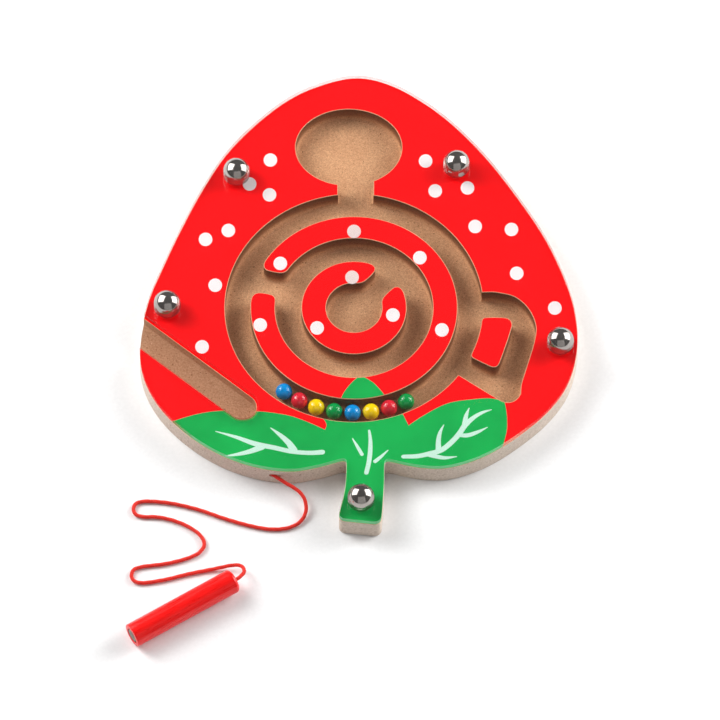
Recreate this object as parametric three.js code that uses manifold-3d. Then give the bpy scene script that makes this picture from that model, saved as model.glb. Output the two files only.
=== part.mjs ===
// A strawberry-shaped bead maze worked with a magnetic pen. A base panel and a routed maze
// frame make the board, three loose islands stand inside the frame and leave the channels
// between them, a clear cover is held down by five screws and dome nuts, eight steel beads
// run in the outer channel, and a pen with a magnet in its tip hangs on a cord.
// Millimetres, +Z up. The origin is on the underside, below the centre of the rings.
import * as THREE from 'three';
import { mergeVertices } from 'three/addons/utils/BufferGeometryUtils.js';
import Module from 'manifold-3d';

const wasm = await Module();
wasm.setup();

// Board stack
const BASE_TOP = 2.4;
const BOARD_TOP = 9.0;
const PRINT_GAP = 0.2;
const COVER_THICKNESS = 2.0;
const COVER_BOTTOM = BOARD_TOP + PRINT_GAP;
const COVER_TOP = COVER_BOTTOM + COVER_THICKNESS;
const CUT_MARGIN = 1.0;

// Rings and channels, as radii about the origin
const CENTRE_POCKET_RADIUS = 9.9;
const INNER_RING_RADIUS = 18.7;
const MIDDLE_RING_INNER = 28.0;
const MIDDLE_RING_RADIUS = 36.8;
const CHANNEL_RADIUS = 45.8;
const RING_SEGMENTS = 84;

// A ring's gap is a straight channel: its direction and the two sides' distances to the left
// of the line from the origin in that direction
const INNER_GAP = { direction: 47, right: -4.6, left: 4.4 };
const MIDDLE_GAP = { direction: 168, right: -8.1, left: 0.9 };
const RING_TIP_REACH = { outer: 4.0, inner: 2.6 };
const CORNER_STEPS = 4;

// Outer edge of the berry and its two leaves, anticlockwise from the right of the stem
const BERRY_EDGE = [
  [14.5, -62.4], [24, -64.4], [34, -64.3], [46.5, -59.7], [58.5, -51.5], [69, -41.6],
  [76, -30.5], [79.2, -16.5], [78.3, -1.5], [74.2, 13], [67.5, 28.5], [58.3, 44],
  [47.5, 59.7], [36, 73], [24.5, 83], [12.5, 90.2], [1, 92.9], [-11, 90.2], [-23, 84.2],
  [-35, 73.9], [-45.5, 61.7], [-54, 47.2], [-61.2, 32], [-67.5, 17], [-72.9, 2.5],
  [-75.7, -12], [-75.2, -26], [-70, -38.6], [-60.5, -49.8], [-48.5, -58.6], [-35.5, -64],
  [-22.5, -65.9], [-12.5, -64.2], [-7.5, -62.7],
];
const BERRY_STEPS = 110;
// Stem corners, from the left notch round to the right one: x, y, reach of the rounding
const STEM_CORNERS = [
  [-2.6, -61.2, 2.2], [-3.0, -72.5, 4], [-5.8, -85.4, 2.8], [2.5, -86.4, 3],
  [9.6, -87.2, 3], [10.7, -72, 4], [10.8, -61.5, 2.2],
];

// Top pocket, its neck, and the right pocket with the island in it
const TOP_POCKET = { x: -1.9, y: 64.8, rx: 18.9, ry: 15.4, segments: 48 };
const NECK = { left: -5.7, right: 6.9, bottom: 40, top: 56 };
const RIGHT_POCKET_START = [38, 6.1];
const RIGHT_POCKET_EDGE = [
  [50, 6.2], [56.9, 4.4], [61.9, -0.5], [64.5, -7.5], [63.7, -14.5], [61.4, -23],
  [59.2, -31], [58.9, -34.8], [56.4, -37.6], [53.1, -37.8], [49.6, -35.7],
];
const RIGHT_POCKET_STEPS = 32;
const RIGHT_POCKET_END = [32, -23.5];
const ISLAND_RADIUS = 45.6;
const ISLAND_FROM = -25.6;
const ISLAND_TO = -4.9;
const ISLAND_CORNERS = [[57.3, -3.9, 5], [50.8, -25.0, 3.2]];
const ISLAND_CORNER_REACH = 1.6;
const ISLAND_STEPS = 10;

// Pen slot, open at the left edge of the board
const SLOT = { x: -39.5, y: -40.0, radius: 5.0, direction: 140.4, length: 60, segments: 16 };
const SLOT_FLOOR = 4.8;
const SLOT_COVER_MARGIN = 0.6;

// Fasteners
const FASTENERS = [[-41.8, 52.7], [36.5, 55.9], [-66.3, -0.7], [73.2, -15.5], [2.5, -78.2]];
const SHANK_RADIUS = 1.5;
const SHANK_HOLE_RADIUS = 1.9;
const NUT_RADIUS = 4.8;
const NUT_SKIRT = 2.3;
const NUT_BORE_DEPTH = 4.4;
const DOME_STEPS = 6;
const NUT_CHAMFER = 0.3;
const HEAD_RADIUS = 3.0;
const HEAD_BOTTOM = 0.3;
const HEAD_RIM = 0.2;
const HEAD_HEIGHT = 1.7;
const SHANK_CHAMFER = 0.4;
const RECESS = { length: 3.2, width: 0.7, depth: 1.0 };
const FIT_GAP = 0.35;
const FASTENER_SEGMENTS = 18;

// Beads, along the bottom of the outer channel
const BEAD_RADIUS = 3.0;
const BEAD_ORBIT_RADIUS = 40.4;
const BEAD_REST_GAP = 0.05;
const BEAD_FIRST_ANGLE = -127.9;
const BEAD_STEP_ANGLE = 9.3;
const BEAD_SEGMENTS = [14, 8];

// Pen, lying on the surface that the board stands on. PEN_END holds the radius and the
// distance from the end at each step of its rounded rear edge.
const PEN_LENGTH = 42.4;
const PEN_RADIUS = 4.4;
const PEN_TIP = [-78.3, -128.75];
const PEN_YAW = 31.6;
const PEN_TIP_CHAMFER = 0.35;
const PEN_END = [[4.4, 1.5], [4.0, 0.5], [3.0, 0]];
const MAGNET_RADIUS = 2.5;
const MAGNET_LENGTH = 2.7;
const PEN_CORD_HOLE_DEPTH = 5;
const PEN_SEGMENTS = 24;
const MAGNET_SEGMENTS = 20;

// Cord
const CORD_RADIUS = 0.7;
const CORD_HOLE_RADIUS = 1.05;
const CORD_HOLE_SEGMENTS = 12;
const CORD_SIDES = 8;
const CORD_STEPS = 72;
const CORD_HOLE = { x: -27.5, y: -65.85, z: 5.2, direction: -36.87, depth: 5, clear: 4 };
const CORD_ROUTE = [
  [-29.5, -64.35, 5.2], [-26.3, -66.75, 5.2], [-23.5, -68.6, 4.9], [-20.6, -70.2, 4.2],
  [-18.2, -72.3, 3.3], [-17.0, -75.3, 2.3], [-17.3, -78.8, 1.3], [-19.4, -81.9, 0.85],
  [-23.6, -84, 0.75], [-30, -84.4, 0.75], [-37, -83, 0.75], [-45.5, -80.3, 0.75],
  [-55.5, -76.5, 0.75], [-66, -73.9, 0.75], [-74.8, -73.4, 0.75], [-77.1, -74.25, 0.75],
  [-78.05, -76.4, 0.75], [-77.2, -78.5, 0.75], [-75, -79.4, 0.75], [-69.5, -79.6, 0.75],
  [-63.5, -81.1, 0.75], [-58, -83.8, 0.75], [-54.2, -87.1, 0.75], [-52.9, -90.6, 0.75],
  [-54.6, -93.7, 0.75], [-58.5, -95.9, 0.75], [-66, -98.1, 0.75], [-75.8, -99.65, 0.75],
  [-77.95, -100.8, 0.75], [-78.6, -103.1, 0.75], [-77.4, -105.2, 0.75], [-75, -105.8, 0.75],
  [-67, -104.6, 0.75], [-58.5, -102.3, 0.75], [-50, -100.5, 0.95], [-42.1, -99.6, 2.4],
  [-39.7, -100.55, 3.4], [-38.75, -103, 4.2], [-40.25, -105.34, 4.4], [-45.1, -108.32, 4.4],
];

// ---- 2-D outlines -------------------------------------------------------------------------

const radians = THREE.MathUtils.degToRad;
const point = ([x, y]) => new THREE.Vector2(x, y);

function arcPoints(x, y, rx, ry, from, to, steps) {
  const points = [];
  for (let i = 0; i <= steps; i += 1) {
    const angle = radians(from + ((to - from) * i) / steps);
    points.push(new THREE.Vector2(x + rx * Math.cos(angle), y + ry * Math.sin(angle)));
  }
  return points;
}

function circlePoints(x, y, rx, ry, steps) {
  return arcPoints(x, y, rx, ry, 0, 360, steps).slice(0, -1);
}

function splinePoints(knots, steps) {
  return new THREE.SplineCurve(knots.map(point)).getSpacedPoints(steps);
}

// A corner between two neighbouring points, rounded over the given reach on both sides
function roundCorner(before, corner, after, reach) {
  const towards = (end) => corner.clone().add(end.clone().sub(corner).setLength(reach));
  const curve = new THREE.QuadraticBezierCurve(towards(before), corner, towards(after));
  return curve.getPoints(CORNER_STEPS);
}

function roundChain(before, corners, after) {
  const chain = [before, ...corners.map(point), after];
  return corners.flatMap(([, , reach], i) => (
    roundCorner(chain[i], chain[i + 1], chain[i + 2], reach)
  ));
}

function boardOutline() {
  const edge = splinePoints(BERRY_EDGE, BERRY_STEPS);
  return [...edge, ...roundChain(edge.at(-1), STEM_CORNERS, edge[0])];
}

function rightPocketOutline() {
  return [
    point(RIGHT_POCKET_START),
    ...splinePoints(RIGHT_POCKET_EDGE, RIGHT_POCKET_STEPS),
    point(RIGHT_POCKET_END),
  ];
}

function slotOutline(radius) {
  const { x, y, direction, length, segments } = SLOT;
  const end = arcPoints(x, y, radius, radius, direction - 270, direction - 90, segments);
  const along = point([Math.cos(radians(direction)), Math.sin(radians(direction))]);
  const far = (from) => from.clone().addScaledVector(along, length);
  return [far(end[0]), ...end, far(end.at(-1))];
}

// The angle at which a gap's side crosses a circle about the origin
function crossing(gap, side, radius) {
  return gap.direction + THREE.MathUtils.radToDeg(Math.asin(gap[side] / radius));
}

// A ring opened by a straight gap, with its four tips rounded
function openRingOutline(inner, outer, gap) {
  const onCircle = (radius, angle) => arcPoints(0, 0, radius, radius, angle, angle, 1)[0];
  const reaches = new Map([[outer, RING_TIP_REACH.outer], [inner, RING_TIP_REACH.inner]]);
  const trim = (radius) => THREE.MathUtils.radToDeg(reaches.get(radius) / radius);
  const start = { outer: crossing(gap, 'left', outer), inner: crossing(gap, 'left', inner) };
  const end = {
    outer: crossing(gap, 'right', outer) + 360,
    inner: crossing(gap, 'right', inner) + 360,
  };
  const sweep = (radius, from, to) => {
    const steps = Math.round((RING_SEGMENTS * Math.abs(to - from)) / 360);
    return arcPoints(0, 0, radius, radius, from, to, steps);
  };
  const outerArc = sweep(outer, start.outer + trim(outer), end.outer - trim(outer));
  const innerArc = sweep(inner, end.inner - trim(inner), start.inner + trim(inner));
  const tip = (before, radius, angle, nextRadius, nextAngle) => (
    roundCorner(
      before, onCircle(radius, angle), onCircle(nextRadius, nextAngle), reaches.get(radius),
    )
  );
  return [
    ...outerArc,
    ...tip(outerArc.at(-1), outer, end.outer, inner, end.inner).slice(1),
    ...tip(innerArc[0], inner, end.inner, outer, end.outer).reverse().slice(0, -1),
    ...innerArc,
    ...tip(innerArc.at(-1), inner, start.inner, outer, start.outer).slice(1),
    ...tip(outerArc[0], outer, start.outer, inner, start.inner).reverse().slice(0, -1),
  ];
}

// The island in the right pocket: its left side follows the outer channel's wall
function islandOutline() {
  const side = arcPoints(
    0, 0, ISLAND_RADIUS, ISLAND_RADIUS, ISLAND_FROM, ISLAND_TO, ISLAND_STEPS,
  );
  const [low, high] = [side[0], side.at(-1)];
  const [topCorner, bottomCorner] = ISLAND_CORNERS.map(point);
  return [
    ...side.slice(1, -1),
    ...roundCorner(side.at(-2), high, topCorner, ISLAND_CORNER_REACH).slice(1),
    ...roundChain(high, ISLAND_CORNERS, low),
    ...roundCorner(bottomCorner, low, side[1], ISLAND_CORNER_REACH).slice(0, -1),
  ];
}

// ---- Solids -------------------------------------------------------------------------------

function plate(outline, bottom, top) {
  const shape = new THREE.Shape(outline);
  const geometry = new THREE.ExtrudeGeometry(shape, { depth: top - bottom, bevelEnabled: false });
  return geometry.translate(0, 0, bottom);
}

function post(x, y, radius, bottom, top, segments = FASTENER_SEGMENTS) {
  return plate(circlePoints(x, y, radius, radius, segments), bottom, top);
}

// A turned piece: [radius, height] pairs about the Z axis
function turned(profile, segments) {
  const geometry = new THREE.LatheGeometry(profile.map(point), segments);
  return geometry.rotateX(Math.PI / 2);
}

function toManifold(geometry) {
  const bare = geometry.clone();
  bare.deleteAttribute('normal');
  bare.deleteAttribute('uv');
  const merged = mergeVertices(bare, 1e-4);
  const mesh = new wasm.Mesh({
    numProp: 3,
    vertProperties: Float32Array.from(merged.attributes.position.array),
    triVerts: Uint32Array.from(merged.index.array),
  });
  mesh.merge();
  return new wasm.Manifold(mesh);
}

function toGeometry(manifold) {
  const { vertProperties, triVerts } = manifold.getMesh();
  const geometry = new THREE.BufferGeometry();
  geometry.setAttribute('position', new THREE.BufferAttribute(Float32Array.from(vertProperties), 3));
  geometry.setIndex(new THREE.BufferAttribute(Uint32Array.from(triVerts), 1));
  geometry.computeVertexNormals();
  return geometry;
}

function cut(body, ...tools) {
  const result = tools.reduce((rest, tool) => rest.subtract(toManifold(tool)), toManifold(body));
  return toGeometry(result);
}

function fastenerHoles(bottom, top) {
  return FASTENERS.map(([x, y]) => (
    post(x, y, SHANK_HOLE_RADIUS, bottom - CUT_MARGIN, top + CUT_MARGIN)
  ));
}

// A countersunk head's outer shape, grown by the given gap
function headCone(gap) {
  const bottom = gap > 0 ? -CUT_MARGIN : HEAD_BOTTOM;
  const seat = HEAD_BOTTOM + HEAD_HEIGHT;
  const radius = HEAD_RADIUS + gap;
  return [[0, bottom], [radius, bottom], [radius, HEAD_BOTTOM + HEAD_RIM],
    [SHANK_RADIUS + gap, seat], [0, seat]];
}

// ---- Pieces -------------------------------------------------------------------------------

function basePanel() {
  const sinks = FASTENERS.map(([x, y]) => (
    turned(headCone(FIT_GAP), FASTENER_SEGMENTS).translate(x, y, 0)
  ));
  return cut(plate(boardOutline(), 0, BASE_TOP), ...sinks, ...fastenerHoles(0, BASE_TOP));
}

function cordHole() {
  const { x, y, z, direction, depth, clear } = CORD_HOLE;
  const drill = post(0, 0, CORD_HOLE_RADIUS, -depth, clear, CORD_HOLE_SEGMENTS);
  drill.rotateY(Math.PI / 2).rotateZ(radians(direction));
  return drill.translate(x, y, z);
}

function mazeFrame() {
  const bottom = BASE_TOP - CUT_MARGIN;
  const top = BOARD_TOP + CUT_MARGIN;
  const through = (outline) => plate(outline, bottom, top);
  const { x, y, rx, ry, segments } = TOP_POCKET;
  const neck = [
    [NECK.left, NECK.bottom], [NECK.right, NECK.bottom], [NECK.right, NECK.top],
    [NECK.left, NECK.top],
  ];
  return cut(
    plate(boardOutline(), BASE_TOP, BOARD_TOP),
    through(circlePoints(0, 0, CHANNEL_RADIUS, CHANNEL_RADIUS, RING_SEGMENTS)),
    through(circlePoints(x, y, rx, ry, segments)),
    through(neck.map(point)),
    through(rightPocketOutline()),
    plate(slotOutline(SLOT.radius), SLOT_FLOOR, top),
    cordHole(),
    ...fastenerHoles(BASE_TOP, BOARD_TOP),
  );
}

function cover() {
  const opening = slotOutline(SLOT.radius + SLOT_COVER_MARGIN);
  return cut(
    plate(boardOutline(), COVER_BOTTOM, COVER_TOP),
    plate(opening, COVER_BOTTOM - CUT_MARGIN, COVER_TOP + CUT_MARGIN),
    ...fastenerHoles(COVER_BOTTOM, COVER_TOP),
  );
}

function domeNut() {
  const dome = arcPoints(0, NUT_SKIRT, NUT_RADIUS, NUT_RADIUS, 0, 90, DOME_STEPS)
    .slice(0, -1);
  return turned([
    [0, NUT_BORE_DEPTH], [SHANK_HOLE_RADIUS, NUT_BORE_DEPTH], [SHANK_HOLE_RADIUS, 0],
    [NUT_RADIUS - NUT_CHAMFER, 0], [NUT_RADIUS, NUT_CHAMFER], ...dome.map(({ x, y }) => [x, y]),
    [0, NUT_SKIRT + NUT_RADIUS],
  ], FASTENER_SEGMENTS);
}

function screw() {
  const [, ...head] = headCone(0).slice(0, -1);
  const top = COVER_TOP + NUT_BORE_DEPTH - FIT_GAP;
  const body = turned([
    [0, HEAD_BOTTOM], ...head, [SHANK_RADIUS, top - SHANK_CHAMFER],
    [SHANK_RADIUS - SHANK_CHAMFER, top], [0, top],
  ], FASTENER_SEGMENTS);
  const blade = new THREE.BoxGeometry(RECESS.length, RECESS.width, RECESS.depth * 2);
  const cross = blade.clone().rotateZ(Math.PI / 2);
  return cut(body, blade.translate(0, 0, HEAD_BOTTOM), cross.translate(0, 0, HEAD_BOTTOM));
}

function penBarrel() {
  const bore = MAGNET_RADIUS + FIT_GAP;
  return turned([
    [0, MAGNET_LENGTH + FIT_GAP], [bore, MAGNET_LENGTH + FIT_GAP], [bore, 0],
    [PEN_RADIUS - PEN_TIP_CHAMFER, 0], [PEN_RADIUS, PEN_TIP_CHAMFER],
    ...PEN_END.map(([radius, fromEnd]) => [radius, PEN_LENGTH - fromEnd]),
    [CORD_HOLE_RADIUS, PEN_LENGTH], [CORD_HOLE_RADIUS, PEN_LENGTH - PEN_CORD_HOLE_DEPTH],
    [0, PEN_LENGTH - PEN_CORD_HOLE_DEPTH],
  ], PEN_SEGMENTS).rotateY(Math.PI / 2);
}

function magnet() {
  return post(0, 0, MAGNET_RADIUS, 0, MAGNET_LENGTH, MAGNET_SEGMENTS).rotateY(Math.PI / 2);
}

function cord() {
  const path = new THREE.CatmullRomCurve3(CORD_ROUTE.map((p) => new THREE.Vector3(...p)));
  const section = new THREE.Shape(circlePoints(0, 0, CORD_RADIUS, CORD_RADIUS, CORD_SIDES));
  return new THREE.ExtrudeGeometry(section, { steps: CORD_STEPS, extrudePath: path });
}

// ---- Materials ----------------------------------------------------------------------------

function finish(color, roughness, metalness = 0, extra = {}) {
  return new THREE.MeshStandardMaterial({ color, roughness, metalness, ...extra });
}

const MDF = finish(0xb98c66, 0.85);
const PRINTED_MDF = finish(0xf0201f, 0.45);
const ACRYLIC = finish(0xf4fbff, 0.05, 0, { transparent: true, opacity: 0.3 });
const NICKEL = finish(0xc9c6c2, 0.12, 1);
const STEEL = finish(0x9c9c9c, 0.35, 1);
const PEN_RED = finish(0xe3221c, 0.35);
const MAGNET_GREY = finish(0x77726a, 0.4, 1);
const CORD_RED = finish(0xd8322a, 0.9);
const BEAD_COLOURS = {
  blue: finish(0x0a7fc4, 0.2),
  red: finish(0xd0303c, 0.2),
  yellow: finish(0xf6c500, 0.2),
  green: finish(0x0b8a46, 0.2),
};
const BEAD_ORDER = ['blue', 'red', 'yellow', 'green', 'blue', 'yellow', 'red', 'green'];

// ---- Assembly -----------------------------------------------------------------------------

function named(name, geometry, material) {
  const mesh = new THREE.Mesh(geometry, material.clone());
  mesh.name = name;
  return mesh;
}

function boardGroup() {
  const group = new THREE.Group();
  const middle = openRingOutline(MIDDLE_RING_INNER, MIDDLE_RING_RADIUS, MIDDLE_GAP);
  const inner = openRingOutline(CENTRE_POCKET_RADIUS, INNER_RING_RADIUS, INNER_GAP);
  group.add(
    named('base_panel', basePanel(), MDF),
    named('maze_frame', mazeFrame(), PRINTED_MDF),
    named('middle_ring', plate(middle, BASE_TOP, BOARD_TOP), PRINTED_MDF),
    named('inner_ring', plate(inner, BASE_TOP, BOARD_TOP), PRINTED_MDF),
    named('pocket_island', plate(islandOutline(), BASE_TOP, BOARD_TOP), PRINTED_MDF),
    named('clear_cover', cover(), ACRYLIC),
  );
  return group;
}

function fastenerGroup() {
  const group = new THREE.Group();
  FASTENERS.forEach(([x, y], i) => {
    const nut = named(`dome_nut_${i + 1}`, domeNut(), NICKEL);
    nut.position.set(x, y, COVER_TOP);
    const bolt = named(`back_screw_${i + 1}`, screw(), STEEL);
    bolt.position.set(x, y, 0);
    group.add(nut, bolt);
  });
  return group;
}

function beadGroup() {
  const group = new THREE.Group();
  BEAD_ORDER.forEach((colour, i) => {
    const angle = radians(BEAD_FIRST_ANGLE + BEAD_STEP_ANGLE * i);
    const ball = new THREE.SphereGeometry(BEAD_RADIUS, ...BEAD_SEGMENTS).rotateX(Math.PI / 2);
    const bead = named(`bead_${i + 1}`, ball, BEAD_COLOURS[colour]);
    bead.position.set(
      BEAD_ORBIT_RADIUS * Math.cos(angle),
      BEAD_ORBIT_RADIUS * Math.sin(angle),
      BASE_TOP + BEAD_REST_GAP + BEAD_RADIUS,
    );
    group.add(bead);
  });
  return group;
}

function penGroup() {
  const group = new THREE.Group();
  group.add(named('pen_barrel', penBarrel(), PEN_RED), named('pen_magnet', magnet(), MAGNET_GREY));
  group.position.set(...PEN_TIP, PEN_RADIUS);
  group.rotation.z = radians(PEN_YAW);
  return group;
}

const bead_maze = new THREE.Group();
bead_maze.add(
  boardGroup(),
  fastenerGroup(),
  beadGroup(),
  penGroup(),
  named('pen_cord', cord(), CORD_RED),
);

export default bead_maze;
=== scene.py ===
"""Looks of the strawberry bead maze, for Blender 4.5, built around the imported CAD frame.

Lengths are millimetres while a mesh is built, and add_piece() turns them into metres. The
frame is the CAD's: the origin is on the board's underside, below the centre of the rings,
and +Z is up. The berry's tip points to +Y, its stem to -Y.
"""

import math

import bmesh
import bpy
import numpy as np
from mathutils import Matrix, Vector, noise
from mathutils.geometry import delaunay_2d_cdt


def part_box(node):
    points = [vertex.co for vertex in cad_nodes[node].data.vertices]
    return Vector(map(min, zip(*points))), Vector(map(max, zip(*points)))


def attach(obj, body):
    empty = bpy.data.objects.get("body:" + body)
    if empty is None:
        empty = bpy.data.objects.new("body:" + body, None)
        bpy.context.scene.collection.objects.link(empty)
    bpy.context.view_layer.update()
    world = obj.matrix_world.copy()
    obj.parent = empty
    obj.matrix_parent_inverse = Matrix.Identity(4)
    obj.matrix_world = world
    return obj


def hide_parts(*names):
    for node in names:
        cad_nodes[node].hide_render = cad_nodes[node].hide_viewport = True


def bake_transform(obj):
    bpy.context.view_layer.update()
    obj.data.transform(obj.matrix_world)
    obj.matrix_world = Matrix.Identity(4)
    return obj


MM = 0.001

# ---- Sizes, in millimetres ------------------------------------------------------------------

# Board stack, as in the CAD model
BASE_TOP = 2.4
BOARD_TOP = 9.0
COVER_BOTTOM = 9.2
COVER_TOP = 11.2

# Broken edges: along the channels, round the board's rim, round the cover, under the base
CHANNEL_BREAK = 0.16
RIM_BREAK = 0.1
COVER_BREAK = 0.1
BASE_BREAK = 0.3

# Rounded foot of a channel wall, as (height, inset): below zero it reaches into the channel
COVE = [(0, -1.1), (0.09, -0.66), (0.33, -0.33), (0.66, -0.09), (1.1, 0)]

# Outlines: the turn that makes a corner, the turn that shades as an edge, the points to each
# stretch, the widest outline that is a screw's hole and the narrowest that is the board's rim
CORNER_TURN = math.radians(28)
SMOOTH_TURN = math.radians(32)
OUTLINE_STEPS = 3
HOLE_WIDTH = 5
RIM_WIDTH = 100

# Reading the CAD faces: how upright a level face's normal is, and what counts as equal
LEVEL = 0.9
SAME_HEIGHT = 0.01
SAME_POINT_METRES = 1e-6

# How far a cutter goes past the surface that it cuts
OVERCUT = 1

# Material numbers of the fibreboard pieces' surfaces
BOARD_FINISHES = ["mdf_floor", "mdf_edge", "mdf_wall", "mdf_side", "mdf_back", "mdf_slot"]
FLOOR, EDGE, WALL, SIDE, BACK, SLOT = range(6)

# Ink: thickness, top of the second coat over the board, bare margins along edges, and the
# gap between the colours. A dot's radii differ, so that it looks round from the camera.
INK = 0.05
SECOND_COAT = 1.6 * INK
INK_MARGIN = 0.24
RIM_INK_MARGIN = 0.1
COLOUR_GAP = 0.14
DOT_SIZE = (2.42, 2.72)
DOT_BREAK = 0.03
DOT_SIDES = 48
REGION_STEPS = 8
STROKE_STEPS = 8

# Pen slot and the cord's hole
SLOT_START = (-39.5, -40.0)
SLOT_DIRECTION = math.radians(140.4)
SLOT_RADIUS = 5.0
SLOT_LENGTH = 60
SLOT_FLOOR = 4.8
SLOT_FILLET = [(0, 0.5), (0.15, 0.15), (0.5, 0)]
SLOT_END_STEPS = 40
CORD_HOLE = (-27.5, -65.85, 5.2)
CORD_HOLE_DIRECTION = math.radians(-36.87)
CORD_HOLE_RADIUS = 1.05
CORD_HOLE_DEPTH = 5.0
CORD_HOLE_OUTSIDE = 4
CORD_HOLE_SIDES = 32

# Dome nuts: the bore's radius and depth, its drill point, the rounded foot, and the shallow
# groove between skirt and dome as (radius, height) from the skirt's upper edge
NUT_RADIUS = 4.8
NUT_SKIRT = 2.3
NUT_BORE = (1.9, 4.4)
NUT_BORE_POINT = 0.9
NUT_ROUND = 0.3
NUT_FOOT = 0.45
NUT_GROOVE = [(0, -0.35), (-0.05, -0.18), (-0.02, 0)]
NUT_SIDES = 72

# Screws: the head's edge is (radius, height) from its lower corner, the recess is (length,
# width, height) of each blade of the cross at its two ends
SCREW_HEAD_RADIUS = 3.0
SCREW_HEAD_BOTTOM = 0.3
SCREW_HEAD_EDGE = [(-0.15, 0), (0, 0.12), (0, 0.25)]
SCREW_SEAT = 2.0
SCREW_SHANK_RADIUS = 1.5
SCREW_TOP = 15.25
SCREW_END = 0.3
SCREW_SIDES = 40
THREAD_START = 9.0
THREAD_PITCH = 0.5
THREAD_DEPTH = 0.22
THREAD_RUNOUT = 0.6
RECESS_DEEP = (1.6, 0.45, 1.15)
RECESS_MOUTH = (3.4, 0.75, -0.2)
RECESS_TURN = 0.4

# Countersunk holes in the base: room round the head, the broken edge, the straight part below
# the cone, the cutter's width under the base, and the room round the shank above the cone
SINK_GAP = 0.35
SINK_BREAK = 0.2
SINK_STRAIGHT = 0.5
SINK_FLARE = 0.3
SHANK_GAP = 0.4
SINK_SIDES = 48

# Beads: each is dented by smooth noise, by up to twice this share of its radius
BEAD_RADIUS = 3.0
BEAD_CUTS = 15
BEAD_DENT = 0.004
BEAD_DENTS_PER_MM = 0.6
BEAD_NOISE_STEP = 7.0
BEAD_COLOURS = ["blue", "red", "yellow", "green", "blue", "yellow", "red", "green"]

# Pen
PEN_TIP = (-78.3, -128.75, 4.4)
PEN_YAW = math.radians(31.6)
PEN_LENGTH = 42.4
PEN_RADIUS = 4.4
PEN_TIP_ROUND = 0.4
PEN_END_ROUND = 1.5
PEN_RINGS = range(4, 35, 6)
PEN_SIDES = 72
PEN_BORE_DEPTH = 3.05
PEN_BORE_BREAK = 0.12
PEN_HOLE_DEPTH = 5
PEN_HOLE_BREAK = (0.2, 0.25)

# The pen's skin sways by smooth noise, slower along it than across, by up to twice this share
PEN_SKIN = 0.02
PEN_SWAY = 0.006
PEN_SWAY_ACROSS = 0.35
PEN_SWAY_ALONG = 0.06

# Magnet in its bore: the face's edge is (radius, height) from the corner of the disc
MAGNET_BORE = 2.85
MAGNET_RADIUS = 2.5
MAGNET_LENGTH = 2.7
MAGNET_DISH = 0.06
MAGNET_EDGE = [(-0.25, 0.04), (-0.08, 0.12), (0, 0.3)]
MAGNET_BACK_BREAK = 0.2
MAGNET_SIDES = 56

# Cord, along the CAD model's route
CORD_DIAMETER = 1.4
CORD_STRANDS = 3
CORD_TWIST = 3.6
CORD_GROOVE = 0.16
CORD_GROOVE_POWER = 0.6
CORD_STEP = 0.3
CORD_SIDES = 18
CORD_ROUTE_STEPS = 12
CORD_ROUTE = [
    (-29.5, -64.35, 5.2), (-26.3, -66.75, 5.2), (-23.5, -68.6, 4.9), (-20.6, -70.2, 4.2),
    (-18.2, -72.3, 3.3), (-17.0, -75.3, 2.3), (-17.3, -78.8, 1.3), (-19.4, -81.9, 0.85),
    (-23.6, -84, 0.75), (-30, -84.4, 0.75), (-37, -83, 0.75), (-45.5, -80.3, 0.75),
    (-55.5, -76.5, 0.75), (-66, -73.9, 0.75), (-74.8, -73.4, 0.75), (-77.1, -74.25, 0.75),
    (-78.05, -76.4, 0.75), (-77.2, -78.5, 0.75), (-75, -79.4, 0.75), (-69.5, -79.6, 0.75),
    (-63.5, -81.1, 0.75), (-58, -83.8, 0.75), (-54.2, -87.1, 0.75), (-52.9, -90.6, 0.75),
    (-54.6, -93.7, 0.75), (-58.5, -95.9, 0.75), (-66, -98.1, 0.75), (-75.8, -99.65, 0.75),
    (-77.95, -100.8, 0.75), (-78.6, -103.1, 0.75), (-77.4, -105.2, 0.75), (-75, -105.8, 0.75),
    (-67, -104.6, 0.75), (-58.5, -102.3, 0.75), (-50, -100.5, 0.95), (-42.1, -99.6, 2.4),
    (-39.7, -100.55, 3.4), (-38.75, -103, 4.2), (-40.25, -105.34, 4.4), (-45.1, -108.32, 4.4),
]

# White dots on the berry, the middle ring and the inner ring
FRAME_DOTS = [
    (-29.8, 59.6), (-37.2, 49.9), (-30.1, 45.5), (-44.7, 31.1), (-52.8, 27.5), (-49.3, 9.0),
    (-53.9, -15.8), (25.5, 59.2), (28.9, 47.1), (40.4, 48.3), (43.1, 32.7), (56.0, 31.5),
    (57.8, 13.8), (71.3, -0.2),
]
MIDDLE_DOTS = [(-26.2, 17.8), (23.4, 20.1), (31.2, -9.0), (-33.3, -7.0)]
INNER_DOTS = [(-13.1, -8.2), (13.8, -3.0)]
# Two dots in a greyer white
GREYER_DOTS = [(0, 30.7), (-0.7, 12.2)]

# Edge of the green print: smooth runs of knots that meet at corners
LEAF_EDGE = [
    [(-90, -53), (-76, -50.2), (-64.5, -45.8), (-54.6, -42.6), (-45.9, -41.4), (-34.3, -41.7),
     (-28.7, -42.3), (-22.7, -43.5), (-18.9, -44.9), (-14.5, -46.9), (-10.3, -49.1)],
    [(-10.3, -49.1), (-9.7, -47.6), (-9.9, -46.2), (-10.9, -44.4), (-12.6, -41.5)],
    [(-12.6, -41.5), (2, -38), (16, -40)],
    [(16, -40), (17.4, -43.1), (18.4, -45.4), (19.3, -47.4)],
    [(19.3, -47.4), (24.5, -43.5), (33.3, -38.5), (42.2, -36.9), (48, -36.5), (53.2, -37.4)],
    [(53.2, -37.4), (54.0, -42.3), (54.1, -48.7), (53.4, -52.5), (52.2, -56.8), (50, -62)],
    [(50, -62), (30, -95), (-30, -95), (-90, -80)],
]
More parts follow.
